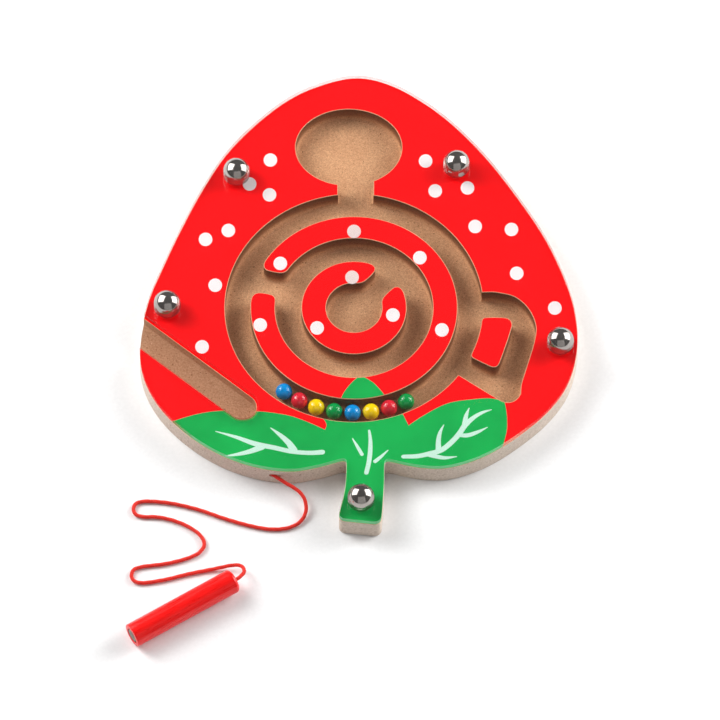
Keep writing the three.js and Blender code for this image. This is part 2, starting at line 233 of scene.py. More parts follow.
TRIANGLE_EDGE = [
    [(-5.2, -39.5), (-4.5, -36.5), (-3.7, -34.5), (-1.9, -31.6), (0.3, -29.0), (1.4, -28.1),
     (2.4, -27.6), (3.3, -27.9), (4.6, -28.6), (6.8, -30.2), (9.0, -32.7), (10.7, -35.1),
     (12.6, -38.8)],
    [(12.6, -38.8), (-5.2, -39.5)],
]

# Leaf veins: x, y and width along each brush stroke
VEINS = [
    [(-48.9, -49.7, 0.3), (-41.5, -52.1, 1.3), (-34.9, -54.7, 1.9), (-28.4, -56.2, 1.8),
     (-21.8, -57.8, 1.7), (-15.2, -58.3, 1.7), (-11.2, -58.0, 1.9)],
    [(-29.5, -48.3, 0.3), (-25.7, -51.6, 1.6), (-22.9, -54.6, 2.2), (-21.4, -57.2, 2.8)],
    [(-45.6, -59.6, 0.3), (-40.8, -58.8, 1.3), (-36.2, -57.5, 1.9), (-32.6, -55.9, 2.4)],
    [(17.5, -59.8, 1.5), (22.6, -59.6, 1.7), (26.7, -58.6, 1.8), (30.9, -57.2, 1.9),
     (35.1, -53.4, 1.9), (37.6, -50.1, 1.9), (39.3, -47.3, 2.0), (42.6, -44.0, 1.5),
     (45.6, -42.1, 1.1), (48.7, -41.0, 0.3)],
    [(40.8, -40.4, 0.3), (39.7, -43.5, 1.4), (39.2, -47.0, 1.9)],
    [(47.2, -48.1, 0.3), (43.5, -50.1, 1.3), (40.1, -51.3, 1.6), (37.2, -51.2, 1.4)],
    [(31.8, -47.1, 0.3), (30.5, -50.1, 1.2), (29.9, -53.4, 1.7), (29.9, -57.2, 2.0)],
    [(36.3, -59.8, 0.3), (32.2, -60.3, 1.3), (28.8, -59.7, 1.6), (25.5, -58.9, 1.3)],
    [(5.4, -49.4, 0.8), (5.8, -53.4, 1.3), (5.7, -58.2, 1.6), (5.2, -62.4, 1.6),
     (4.4, -66.2, 1.6)],
    [(-0.5, -52.6, 0.4), (1.2, -55.8, 1.1), (2.8, -58.9, 1.3)],
    [(12.0, -57.3, 0.4), (9.6, -59.8, 1.1), (7.5, -61.7, 1.4)],
]

# ---- Camera and lights ----------------------------------------------------------------------

CAMERA_AIM = (2.13, -21.06, 9.0)
CAMERA_ELEVATION = math.radians(62)
CAMERA_DISTANCE = 8000
CAMERA_LENS = 1128
CAMERA_SENSOR = 36
CAMERA_REACH_METRES = 60

# Each lamp: the direction it stands in, its distance and width in millimetres, its watts
LAMPS = {
    "left_core": ((-0.73, 0.34, 0.60), 900, 330, 3.1),
    "left_wide": ((-0.73, 0.34, 0.60), 940, 860, 9.2),
    "right_core": ((0.84, 0.30, 0.45), 900, 330, 3.1),
    "right_wide": ((0.84, 0.30, 0.45), 940, 860, 9.2),
    "front_fill": ((0.1, -0.85, 0.5), 1700, 2000, 5.5),
}
ROOM_GREY = (0.10, 0.10, 0.10, 1)
BACKDROP_GREY = (0.9, 0.9, 0.9, 1)

# Studio floor: half its width, and how far it lies under the board
FLOOR_REACH = 3000
FLOOR_DROP = 0.05
FLOOR_DIVISIONS = 8

# The colour sockets of Blender's Mix node
MIX_FIRST, MIX_SECOND, MIX_RESULT = 6, 7, 2

# Where along Y the painted reflection of the print in the cover's edge turns from the
# leaves' colour to the berry's
PRINT_REFLECTION_START = -56
PRINT_REFLECTION_END = -44


def add_camera():
    back = Vector((0, -math.cos(CAMERA_ELEVATION), math.sin(CAMERA_ELEVATION)))
    data = bpy.data.cameras.new("camera")
    data.sensor_width = CAMERA_SENSOR
    data.lens = CAMERA_LENS
    data.clip_end = CAMERA_REACH_METRES
    camera = bpy.data.objects.new("camera", data)
    camera.location = (Vector(CAMERA_AIM) + back * CAMERA_DISTANCE) * MM
    camera.rotation_euler = (math.pi / 2 - CAMERA_ELEVATION, 0, 0)
    bpy.context.scene.collection.objects.link(camera)
    bpy.context.scene.camera = camera


def add_lamps():
    for name, (direction, distance, width, watts) in LAMPS.items():
        data = bpy.data.lights.new(name, "AREA")
        data.size = width * MM
        data.energy = watts
        lamp = bpy.data.objects.new(name, data)
        towards = Vector(direction).normalized()
        lamp.location = towards * distance * MM
        lamp.rotation_euler = towards.to_track_quat("Z", "Y").to_euler()
        bpy.context.scene.collection.objects.link(lamp)
    world = bpy.data.worlds.new("studio")
    world.use_nodes = True
    nodes, links = world.node_tree.nodes, world.node_tree.links
    rays, tone = nodes.new("ShaderNodeLightPath"), nodes.new("ShaderNodeMix")
    tone.data_type = "RGBA"
    tone.inputs[MIX_FIRST].default_value = ROOM_GREY
    tone.inputs[MIX_SECOND].default_value = BACKDROP_GREY
    links.new(rays.outputs["Is Camera Ray"], tone.inputs[0])
    links.new(tone.outputs[MIX_RESULT], nodes["Background"].inputs["Color"])
    bpy.context.scene.world = world
    bpy.context.scene.view_settings.view_transform = "Standard"


# ---- Curves and outlines --------------------------------------------------------------------

def smooth_point(a, b, c, d, t):
    """A point between b and c on the centripetal Catmull-Rom curve through a, b, c and d."""
    knots = [0]
    for p, q in ((a, b), (b, c), (c, d)):
        knots.append(knots[-1] + max((q - p).length, 1e-6) ** 0.5)
    at = knots[1] + (knots[2] - knots[1]) * t

    def mix(p, q, low, high):
        return p + (q - p) * ((at - low) / (high - low))

    first = [mix(p, q, knots[i], knots[i + 1])
             for i, (p, q) in enumerate(((a, b), (b, c), (c, d)))]
    second = [mix(first[i], first[i + 1], knots[i], knots[i + 2]) for i in range(2)]
    return mix(second[0], second[1], knots[1], knots[2])


def smooth_run(knots, steps):
    """An open smooth curve through the knots, with steps points to each stretch."""
    knots = [Vector(k) for k in knots]
    if len(knots) < 3:
        return knots
    ends = [2 * knots[0] - knots[1], *knots, 2 * knots[-1] - knots[-2]]
    found = []
    for i in range(len(knots) - 1):
        found += [smooth_point(*ends[i:i + 4], s / steps) for s in range(steps)]
    return [*found, knots[-1]]


def turn_at(before, point, after):
    return (point - before).angle(after - point, 0)


def refined(loop, steps=OUTLINE_STEPS):
    """A closed outline with each stretch divided on a smooth curve; its corners stay sharp."""
    count = len(loop)
    sharp = [turn_at(loop[i - 1], loop[i], loop[(i + 1) % count]) > CORNER_TURN
             for i in range(count)]
    found = []
    for i in range(count):
        a, b, c, d = (loop[(i + k) % count] for k in (-1, 0, 1, 2))
        a = 2 * b - c if sharp[i] else a
        d = 2 * c - b if sharp[(i + 1) % count] else d
        found += [smooth_point(a, b, c, d, s / steps) for s in range(steps)]
    return found


def circle(x, y, rx, ry, steps):
    return [
        Vector((x + rx * math.cos(2 * math.pi * i / steps),
                y + ry * math.sin(2 * math.pi * i / steps)))
        for i in range(steps)
    ]


def chained(runs, steps):
    """One closed outline from smooth runs that meet end to start."""
    return [p for run in runs for p in smooth_run(run, steps)[:-1]]


def face_outlines(node, height, upward):
    """A CAD node's flat face at a height, as closed outlines with the material on the left."""
    work = bmesh.new()
    work.from_mesh(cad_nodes[node].data)
    bmesh.ops.remove_doubles(work, verts=work.verts, dist=SAME_POINT_METRES)
    work.normal_update()
    sign = 1 if upward else -1
    flat = {f for f in work.faces if f.normal.z * sign > LEVEL
            and all(abs(v.co.z / MM - height) < SAME_HEIGHT for v in f.verts)}
    follows = {}
    for face in flat:
        for loop in face.loops:
            if sum(other in flat for other in loop.edge.link_faces) == 1:
                follows[loop.vert.index] = loop.link_loop_next.vert.index
    work.verts.ensure_lookup_table()
    outlines = []
    while follows:
        start, at = follows.popitem()
        outline = [start]
        while at != start:
            outline.append(at)
            at = follows.pop(at)
        points = [Vector(work.verts[i].co.xy) / MM for i in outline]
        outlines.append(points if upward else points[::-1])
    work.free()
    return outlines


def width_of(outline):
    return max(p.x for p in outline) - min(p.x for p in outline)


def inward(outline):
    """At each point, the move that shifts both of its edges one unit into the material."""
    moves = []
    for i, point in enumerate(outline):
        before = (point - outline[i - 1]).normalized()
        after = (outline[(i + 1) % len(outline)] - point).normalized()
        normal = Vector((-before.y, before.x)) + Vector((-after.y, after.x))
        moves.append(normal * (2 / max(normal.length_squared, 0.5)))
    return moves


# ---- Meshes ---------------------------------------------------------------------------------

def held_by(points, outlines):
    """For each point, whether the outlines hold it: an odd number of edges lies beside it."""
    x, y = np.array(points).T
    crossed = np.zeros(len(x), int)
    for outline in outlines:
        for a, b in zip(outline, [*outline[1:], outline[0]]):
            beside = (a.y > y) != (b.y > y)
            crossed += beside & (x < a.x + (y - a.y) * (b.x - a.x) / ((b.y - a.y) or 1))
    return crossed % 2 == 1


def cap_triangles(outlines):
    """Anticlockwise triangles that fill the outlines, as places in all their points."""
    edges, first = [], 0
    for outline in outlines:
        count = len(outline)
        edges += [(first + i, first + (i + 1) % count) for i in range(count)]
        first += count
    points = [p for outline in outlines for p in outline]
    _, _, faces, origins, _, _ = delaunay_2d_cdt(points, edges, [], 0, 1e-6, True)
    triangles = [tuple(origins[i][0] for i in face) for face in faces]
    middles = [sum((points[i] for i in t), Vector((0, 0))) / 3 for t in triangles]
    return [t for t, held in zip(triangles, held_by(middles, outlines)) if held]


def prism(outlines, rings, caps=(0, 0), slope=0, walls=None):
    """A closed plate: rings are (height, inset) from the bottom up, either one list for every
    outline or one list for each. caps, slope and walls are the material numbers of its two
    faces, its sloping top band and each outline's wall."""
    work = bmesh.new()
    profiles = rings if isinstance(rings[0], list) else [rings] * len(outlines)
    levels = [[] for _ in profiles[0]]
    for outline, profile in zip(outlines, profiles):
        moves = inward(outline)
        for level, (height, inset) in zip(levels, profile):
            level.append([work.verts.new((*(p + m * inset), height))
                          for p, m in zip(outline, moves)])
    for low, high in zip(levels, levels[1:]):
        for number, (a, b) in enumerate(zip(low, high)):
            sloping = high is levels[-1] and profiles[number][-1][1] != profiles[number][-2][1]
            finish = slope if sloping else walls[number] if walls else 0
            for i in range(len(a)):
                k = (i + 1) % len(a)
                work.faces.new((a[i], a[k], b[k], b[i])).material_index = finish
    bottom, top = ([v for ring in level for v in ring] for level in (levels[0], levels[-1]))
    for triangle in cap_triangles(outlines):
        work.faces.new([top[i] for i in triangle]).material_index = caps[1]
        work.faces.new([bottom[i] for i in reversed(triangle)]).material_index = caps[0]
    return work


def lathe(profile, segments):
    """A closed turned solid from (radius, height) pairs that start and end on the axis."""
    work = bmesh.new()
    rings = []
    for radius, height in profile:
        if radius < 1e-6:
            rings.append([work.verts.new((0, 0, height))])
        else:
            rings.append([
                work.verts.new((radius * math.cos(2 * math.pi * i / segments),
                                radius * math.sin(2 * math.pi * i / segments), height))
                for i in range(segments)
            ])
    for low, high in zip(rings, rings[1:]):
        for i in range(segments):
            k = (i + 1) % segments
            corners = [low[i % len(low)], low[k % len(low)], high[k % len(high)],
                       high[i % len(high)]]
            unique = list(dict.fromkeys(corners))
            if len(unique) > 2:
                work.faces.new(unique)
    bmesh.ops.recalc_face_normals(work, faces=work.faces)
    return work


def arc(x, y, radius, start, end, steps):
    """Points on an arc, angles in degrees."""
    return [
        (x + radius * math.cos(math.radians(start + (end - start) * i / steps)),
         y + radius * math.sin(math.radians(start + (end - start) * i / steps)))
        for i in range(steps + 1)
    ]


def ball(radius, cuts):
    """A round ball made from a finely divided cube."""
    work = bmesh.new()
    bmesh.ops.create_cube(work, size=2)
    bmesh.ops.subdivide_edges(work, edges=work.edges, cuts=cuts, use_grid_fill=True)
    for vert in work.verts:
        vert.co = vert.co.normalized() * radius
    return work


def tube(points, radius, sides, strands, twist):
    """A closed tube along points, with the relief of twisted strands."""
    work = bmesh.new()
    direction = (points[1] - points[0]).normalized()
    side = direction.orthogonal().normalized()
    rings, travelled = [], 0
    for i, point in enumerate(points):
        ahead = points[min(i + 1, len(points) - 1)] - points[max(i - 1, 0)]
        turn = direction.rotation_difference(ahead.normalized())
        direction, side = ahead.normalized(), (turn @ side).normalized()
        other = direction.cross(side)
        travelled += (point - points[i - 1]).length if i else 0
        ring = []
        for k in range(sides):
            angle = 2 * math.pi * k / sides
            groove = abs(math.sin((angle * strands - 2 * math.pi * travelled / twist) / 2))
            reach = radius * (1 - CORD_GROOVE + CORD_GROOVE * groove ** CORD_GROOVE_POWER)
            ring.append(work.verts.new(
                point + (side * math.cos(angle) + other * math.sin(angle)) * reach
            ))
        rings.append(ring)
    for low, high in zip(rings, rings[1:]):
        for k in range(sides):
            m = (k + 1) % sides
            work.faces.new((low[k], low[m], high[m], high[k]))
    work.faces.new(reversed(rings[0]))
    work.faces.new(rings[-1])
    return work


def as_object(name, work, materials=()):
    """An object, in millimetres, from a finished bmesh."""
    mesh = bpy.data.meshes.new(name)
    work.to_mesh(mesh)
    work.free()
    for material in materials:
        mesh.materials.append(material)
    made = bpy.data.objects.new(name, mesh)
    bpy.context.scene.collection.objects.link(made)
    return made


def combine(body, cutter, operation):
    """body, less, with or within the cutter, which is used up."""
    modifier = body.modifiers.new(operation, "BOOLEAN")
    modifier.object = cutter
    modifier.operation = operation
    modifier.solver = "EXACT"
    solid = body.evaluated_get(bpy.context.evaluated_depsgraph_get())
    mesh = bpy.data.meshes.new_from_object(solid)
    body.modifiers.clear()
    body.data = mesh
    bpy.data.objects.remove(cutter)
    return body


def cut(body, work):
    return combine(body, as_object("cutter", work), "DIFFERENCE")


def add_piece(made, body, stands_for=()):
    """Turns a finished object into metres, smooths it up to its sharp edges and hangs it on
    its CAD body."""
    made.data.transform(Matrix.Scale(MM, 4))
    made.data.shade_smooth()
    made.data.set_sharp_from_angle(angle=SMOOTH_TURN)
    made.data.update()
    if body:
        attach(made, body)
    if stands_for:
        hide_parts(*stands_for)
    return made


# ---- Materials ------------------------------------------------------------------------------

def colour(red, green, blue):
    """Linear colour from 0-255 screen values."""
    def linear(value):
        value /= 255
        return value / 12.92 if value <= 0.04045 else ((value + 0.055) / 1.055) ** 2.4
    return (linear(red), linear(green), linear(blue), 1)


class Surface:
    """A material with a Principled shader and short calls to add nodes to it."""

    def __init__(self, name, **values):
        self.material = bpy.data.materials.new(name)
        self.material.use_nodes = True
        self.tree = self.material.node_tree
        self.shader = self.tree.nodes["Principled BSDF"]
        self.output = self.tree.nodes["Material Output"]
        for key, value in values.items():
            self.shader.inputs[key.replace("_", " ")].default_value = value
        self.place = self.node("ShaderNodeTexCoord").outputs["Object"]

    def node(self, kind, inputs=None, **settings):
        made = self.tree.nodes.new(kind)
        for key, value in settings.items():
            setattr(made, key, value)
        for key, value in (inputs or {}).items():
            if isinstance(value, bpy.types.NodeSocket):
                self.tree.links.new(value, made.inputs[key])
            else:
                made.inputs[key].default_value = value
        return made

    def grain(self, size, detail=3, roughness=0.55, place=None):
        """Noise whose features are about size millimetres across, from 0 to 1."""
        return self.node("ShaderNodeTexNoise", {
            "Vector": place or self.place, "Scale": 1 / (size * MM), "Detail": detail,
            "Roughness": roughness,
        }).outputs["Fac"]

    def shifted(self, amount):
        """The place, moved by amount metres, so that a second noise differs from the first."""
        return self.node("ShaderNodeVectorMath", {0: self.place, 1: (amount, amount, amount)},
                         operation="ADD").outputs["Vector"]

    def ramp(self, value, *stops):
        """Colours at places from 0 to 1: each stop is (place, colour)."""
        made = self.node("ShaderNodeValToRGB", {"Fac": value})
        band = made.color_ramp.elements
        while len(band) < len(stops):
            band.new(0.5)
        for element, (at, shade) in zip(band, stops):
            element.position = at
            element.color = shade
        return made.outputs["Color"]

    def scaled(self, value, low, high, new_low=0.0, new_high=1.0):
        return self.node("ShaderNodeMapRange", {
            "Value": value, "From Min": low, "From Max": high, "To Min": new_low,
            "To Max": new_high,
        }).outputs["Result"]

    def mixed(self, factor, first, second, blend="MIX"):
        return self.node("ShaderNodeMix", {0: factor, MIX_FIRST: first, MIX_SECOND: second},
                         data_type="RGBA", blend_type=blend).outputs[MIX_RESULT]

    def bump(self, height, depth, strength=1.0, under=None):
        """Relief of about depth millimetres."""
        inputs = {"Height": height, "Distance": depth * MM, "Strength": strength}
        if under is not None:
            inputs["Normal"] = under
        return self.node("ShaderNodeBump", inputs).outputs["Normal"]

    def set(self, **sockets):
        for key, socket in sockets.items():
            self.tree.links.new(socket, self.shader.inputs[key.replace("_", " ")])
        return self.material


def mdf(name, light, dark, speckle=1.0, painted_wall_shade=False):
    """Raw fibreboard: fine fibre speckle, sparse dark and pale flecks, a slightly furry
    surface and wide uneven patches. A wall's copy carries painted shade: it darkens from the
    channel's floor upwards."""
    board = Surface(name, Roughness=0.86, Specular_IOR_Level=0.18)
    fibre = board.grain(0.42, 4, 0.62)
    patch = board.grain(14, 2, 0.5)
    body = board.ramp(fibre, (0.30, dark), (0.70, light))
    body = board.mixed(board.scaled(patch, 0.35, 0.65, 0.0, 0.35), body, dark)
    clumps = board.ramp(board.grain(0.7, 2, 0.6, board.shifted(0.17)),
                        (0.36, (0.84, 0.81, 0.78, 1)), (0.6, (1, 1, 1, 1)))
    specks = board.ramp(board.grain(0.75, 1, 0.4), (0.69, (1, 1, 1, 1)),
                        (0.76, (0.45, 0.37, 0.30, 1)))
    pale = board.ramp(board.grain(0.8, 2, 0.5, board.shifted(0.31)), (0.70, (0, 0, 0, 1)),
                      (0.77, (0.34, 0.28, 0.22, 1)))
    body = board.mixed(speckle, body, clumps, "MULTIPLY")
    body = board.mixed(speckle, body, specks, "MULTIPLY")
    body = board.mixed(0.5 * speckle, body, pale, "ADD")
    if painted_wall_shade:
        # Painted shade: the wall's colour darkens from the channel's floor towards the board's
        # face
        height = board.node("ShaderNodeSeparateXYZ", {"Vector": board.place}).outputs["Z"]
        height = board.scaled(height, BASE_TOP * MM, BOARD_TOP * MM)
        painted_shade_ramp = board.ramp(height, (0.08, (0.92, 0.89, 0.86, 1)), (0.4, (0.46, 0.37, 0.30, 1)),
                            (0.95, (0.21, 0.15, 0.11, 1)))
        body = board.mixed(1.0, body, painted_shade_ramp, "MULTIPLY")
    relief = board.bump(fibre, 0.09, 0.7)
    relief = board.bump(board.grain(2.4, 3), 0.10, 0.35, relief)
    return board.set(Base_Color=body, Normal=relief,
                     Roughness=board.scaled(fibre, 0.3, 0.7, 0.94, 0.76))


def ink(name, shade, rough=0.42, mottle=0.06):
    """Flat printed ink: even colour with a faint mottle, over the board's fine texture."""
    print_ = Surface(name, Roughness=rough, Specular_IOR_Level=0.06)
    wide = print_.grain(18, 2)
    fine = print_.grain(0.5, 3)
    lighter = tuple(min(1, c * (1 + mottle)) for c in shade[:3]) + (1,)
    darker = tuple(c * (1 - mottle) for c in shade[:3]) + (1,)
    body = print_.ramp(wide, (0.35, darker), (0.65, lighter))
    body = print_.mixed(print_.scaled(fine, 0.3, 0.7, 0.0, 0.12), body, darker)
    return print_.set(
        Base_Color=body, Normal=print_.bump(fine, 0.02, 0.5),
        Roughness=print_.scaled(fine, 0.3, 0.7, rough - 0.05, rough + 0.08),
    )


def clear_sheet(name, tint, gloss, slant_gloss, rough):
    """Clear plastic: what lies below shows through, and it reflects as much as gloss says
    when seen straight on, and slant_gloss more at a slant."""
    sheet = Surface(name)
    clear = sheet.node("ShaderNodeBsdfTransparent", {"Color": tint})
    ripple = sheet.bump(sheet.grain(60, 1), 0.05, 0.25)
    shine = sheet.node("ShaderNodeBsdfGlossy", {"Color": (1, 1, 1, 1), "Roughness": rough,
                                                "Normal": ripple})
    slant = sheet.node("ShaderNodeLayerWeight", {"Blend": 0.5, "Normal": ripple})
    steep = sheet.node("ShaderNodeMath", {0: slant.outputs["Facing"], 1: 5.0},
                       operation="POWER")
    share = sheet.node("ShaderNodeMath", {0: steep.outputs[0], 1: slant_gloss, 2: gloss},
                       operation="MULTIPLY_ADD")
    both = sheet.node("ShaderNodeMixShader", {0: share.outputs[0], 1: clear.outputs["BSDF"],
                                              2: shine.outputs["BSDF"]})
    sheet.tree.nodes.remove(sheet.shader)
    sheet.tree.links.new(both.outputs["Shader"], sheet.output.inputs["Surface"])
    return sheet.material


def cut_edge(name):
    """The saw-cut edge of the clear sheet: fine marks and half clear. Its colour is a painted
    reflection of the print below, red above the leaves and pale green along them."""
    edge = Surface(name, Roughness=0.4, Alpha=0.38)
    along = edge.node("ShaderNodeSeparateXYZ", {"Vector": edge.place}).outputs["Y"]
    berry = edge.scaled(along, PRINT_REFLECTION_START * MM, PRINT_REFLECTION_END * MM)
    # Painted reflection of the print below: pale green along the leaves, red towards the berry
    tone = edge.ramp(berry, (0.2, colour(176, 226, 196)), (0.8, colour(214, 46, 54)))
    marks = edge.grain(0.35, 3)
    return edge.set(Base_Color=tone, Normal=edge.bump(marks, 0.03, 0.6),
                    Roughness=edge.scaled(marks, 0.3, 0.7, 0.25, 0.5))


def metal(name, shade, rough, wear, relief, haze=0.0):
    """Polished or brushed metal with faint marks. haze is the share of it that has gone dull."""
    plate = Surface(name, Metallic=1.0 - haze, Roughness=rough)
    fine = plate.grain(0.5, 3)
    wide = plate.grain(3.5, 2)
    darker = tuple(c * (1 - wear) for c in shade[:3]) + (1,)
    return plate.set(
        Base_Color=plate.ramp(wide, (0.35, darker), (0.65, shade)),
        Roughness=plate.scaled(fine, 0.3, 0.7, rough * 0.7, rough * 1.5),
        Normal=plate.bump(fine, relief, 0.3),
    )


def enamel(name, shade, rough=0.13):
    """Thick glossy paint on a steel bead: almost even, with a slight orange peel."""
    paint = Surface(name, Roughness=rough, IOR=1.42, Coat_Weight=0.25, Coat_Roughness=0.05)
    wide = paint.grain(2.6, 2)
    darker = tuple(c * 0.94 for c in shade[:3]) + (1,)
    return paint.set(
        Base_Color=paint.ramp(wide, (0.36, darker), (0.62, shade)),
        Normal=paint.bump(paint.grain(0.8, 1), 0.012, 0.4),
        Roughness=paint.scaled(wide, 0.3, 0.7, rough * 0.8, rough * 1.3),
    )


def lacquer(name, shade):
    """Dipped lacquer on a turned dowel: the wood's grain shows faintly along the pen."""
    paint = Surface(name, Roughness=0.32, IOR=1.42, Coat_Weight=0.25, Coat_Roughness=0.12)
    along = paint.node("ShaderNodeMapping", {
        "Vector": paint.node("ShaderNodeMapping", {
            "Vector": paint.place, "Rotation": (0, 0, -PEN_YAW)}).outputs["Vector"],
        "Scale": (0.08, 1, 1)}).outputs["Vector"]
    wood = paint.grain(0.5, 3, 0.6, along)
    darker = tuple(c * 0.9 for c in shade[:3]) + (1,)
    relief = paint.bump(wood, 0.02, 0.35)
    relief = paint.bump(paint.grain(3, 2), 0.06, 0.4, relief)
    return paint.set(
        Base_Color=paint.ramp(wood, (0.34, darker), (0.6, shade)), Normal=relief,
        Roughness=paint.scaled(wood, 0.3, 0.7, 0.24, 0.4),
    )


def yarn(name, shade):
    """Twisted cotton: fine fibres and a little fuzz in the tone."""
    thread = Surface(name, Roughness=0.9, Specular_IOR_Level=0.2, Sheen_Weight=0.25,
                     Sheen_Roughness=0.5)
    fibre = thread.grain(0.16, 3, 0.7)
    darker = tuple(c * 0.62 for c in shade[:3]) + (1,)
    return thread.set(
        Base_Color=thread.ramp(fibre, (0.3, darker), (0.68, shade)),
        Normal=thread.bump(fibre, 0.06, 0.8),
    )


def floor_finish():
    """Pale studio paper."""
    paper = Surface("studio_paper", Roughness=0.9, Specular_IOR_Level=0.1)
    pulp = paper.grain(1.2, 2)
    return paper.set(Base_Color=paper.ramp(pulp, (0.3, (0.86, 0.86, 0.86, 1)),
                                           (0.7, (0.9, 0.9, 0.9, 1))))


def make_materials():
    red, green = colour(252, 10, 17), colour(22, 165, 77)
    return {
        "mdf_floor": mdf("mdf_floor", colour(238, 188, 145), colour(198, 142, 102)),
        # The walls' fibreboard carries painted shade, darker towards the board's face
        "mdf_wall": mdf("mdf_wall", colour(238, 188, 145), colour(198, 142, 102), painted_wall_shade=True),
        "mdf_slot": mdf("mdf_slot", colour(200, 154, 122), colour(164, 118, 88)),
        # Painted light: the side walls are paler and greyer than the board's own fibreboard
        "mdf_side": mdf("mdf_side", colour(228, 214, 202), colour(198, 182, 168)),
        "mdf_back": mdf("mdf_back", colour(206, 164, 126), colour(160, 118, 84)),
        "mdf_edge": mdf("mdf_edge", colour(244, 192, 156), colour(218, 156, 118), 0.2),
        "red_ink": ink("red_ink", red),
        "green_ink": ink("green_ink", green, mottle=0.1),
        "white_ink": ink("white_ink", colour(234, 226, 227), mottle=0.02),
        # A greyer white for two of the dots
        "greyer_white_ink": ink("greyer_white_ink", colour(220, 200, 197), mottle=0.05),
        "vein_ink": ink("vein_ink", colour(196, 228, 212), mottle=0.03),
        "acrylic": clear_sheet("acrylic", (0.99, 0.995, 0.993, 1), 0.04, 0.14, 0.04),
        "acrylic_edge": cut_edge("acrylic_edge"),
        "nickel": metal("nickel", (0.42, 0.385, 0.36, 1), 0.10, 0.12, 0.003, 0.08),
        "steel": metal("steel", colour(168, 168, 170), 0.3, 0.25, 0.02),
        "magnet": metal("magnet", colour(150, 144, 132), 0.42, 0.3, 0.05),
        "bead_blue": enamel("bead_blue", colour(0, 142, 216)),
        "bead_red": enamel("bead_red", colour(222, 36, 54)),
        "bead_yellow": enamel("bead_yellow", colour(255, 214, 0)),
        "bead_green": enamel("bead_green", colour(0, 152, 72)),
        "pen_red": lacquer("pen_red", colour(243, 13, 10)),
        "yarn": yarn("yarn", colour(236, 52, 40)),
        "floor": floor_finish(),
    }


# ---- Pieces ---------------------------------------------------------------------------------

def make_cord():
    path = smooth_run(CORD_ROUTE, CORD_ROUTE_STEPS)
    spaced, left = [path[0]], 0.0
    for a, b in zip(path, path[1:]):
        left += (b - a).length
        while left >= CORD_STEP:
            left -= CORD_STEP
            spaced.append(b + (a - b).normalized() * left)
    cord = as_object("cord", tube(spaced, CORD_DIAMETER / 2, CORD_SIDES, CORD_STRANDS,
                                  CORD_TWIST), [look["yarn"]])
    add_piece(cord, None, ["pen_cord"])
    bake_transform(cord)
    return cord, [p * MM for p in spaced]


def make_base():
    outlines = [refined(o) for o in face_outlines("base_panel", BASE_TOP, True)]
    outlines.sort(key=width_of)
    base = as_object("base_board", prism(
        outlines[-1:], [(0, BASE_BREAK), (BASE_BREAK, 0), (BASE_TOP, 0)], (BACK, FLOOR), SIDE,
        [SIDE],
    ), [look[finish] for finish in BOARD_FINISHES])
    mouth, neck = SCREW_HEAD_RADIUS + SINK_GAP, SCREW_SHANK_RADIUS + SINK_GAP
    for x, y in fasteners:
        cone = lathe([
            (0, -OVERCUT), (mouth + SINK_FLARE, -OVERCUT), (mouth + SINK_BREAK, 0),
            (mouth, SINK_BREAK), (mouth, SINK_STRAIGHT), (neck, SCREW_SEAT),
            (SCREW_SHANK_RADIUS + SHANK_GAP, BASE_TOP + OVERCUT), (0, BASE_TOP + OVERCUT),
        ], SINK_SIDES)
        cone.transform(Matrix.Translation((x, y, 0)))
        cut(base, cone)
    return add_piece(base, "board", ["base_panel"])


def slot_cutter():
    """The pen slot, round at its inner end, with a small fillet at its floor and a broken
    edge at the board's face."""
    turns = [SLOT_DIRECTION - math.radians(270 - 180 * i / SLOT_END_STEPS)
             for i in range(SLOT_END_STEPS + 1)]
    end = [Vector((math.cos(a), math.sin(a))) * SLOT_RADIUS + Vector(SLOT_START)
           for a in turns]
    along = Vector((math.cos(SLOT_DIRECTION), math.sin(SLOT_DIRECTION))) * SLOT_LENGTH
    outline = [end[0] + along, *end, end[-1] + along]
    return prism([outline], [
        *((SLOT_FLOOR + height, inset) for height, inset in SLOT_FILLET),
        (BOARD_TOP - RIM_BREAK, 0), (BOARD_TOP + OVERCUT, -RIM_BREAK - OVERCUT),
    ], (SLOT, SLOT), EDGE, [SLOT])


def routed(name, node, cord_hole=False):
    """A board piece with upright walls and a broken upper edge."""
    outlines = sorted((refined(o) for o in face_outlines(node, BASE_TOP, False)), key=width_of)
    walls = [WALL] * (len(outlines) - 1) + [SIDE if cord_hole else WALL]

    def profile(foot, broken):
        return [*((BASE_TOP + height, inset * foot) for height, inset in COVE),
                (BOARD_TOP - broken, 0), (BOARD_TOP, broken)]

    channels = [profile(width_of(o) > HOLE_WIDTH, CHANNEL_BREAK) for o in outlines]
    if cord_hole:
        channels[-1] = profile(False, RIM_BREAK)
    board = as_object(name, prism(outlines, channels, (FLOOR, EDGE), EDGE, walls),
                      [look[finish] for finish in BOARD_FINISHES])
    if cord_hole:
        cut(board, slot_cutter())
        drill = lathe([(0, -CORD_HOLE_DEPTH), (CORD_HOLE_RADIUS, -CORD_HOLE_DEPTH),
                       (CORD_HOLE_RADIUS, CORD_HOLE_OUTSIDE), (0, CORD_HOLE_OUTSIDE)],
                      CORD_HOLE_SIDES)
        drill.transform(Matrix.Translation(CORD_HOLE)
                        @ Matrix.Rotation(CORD_HOLE_DIRECTION, 4, "Z")
                        @ Matrix.Rotation(math.pi / 2, 4, "Y"))
        cut(board, drill)
    return add_piece(board, "board", [node])


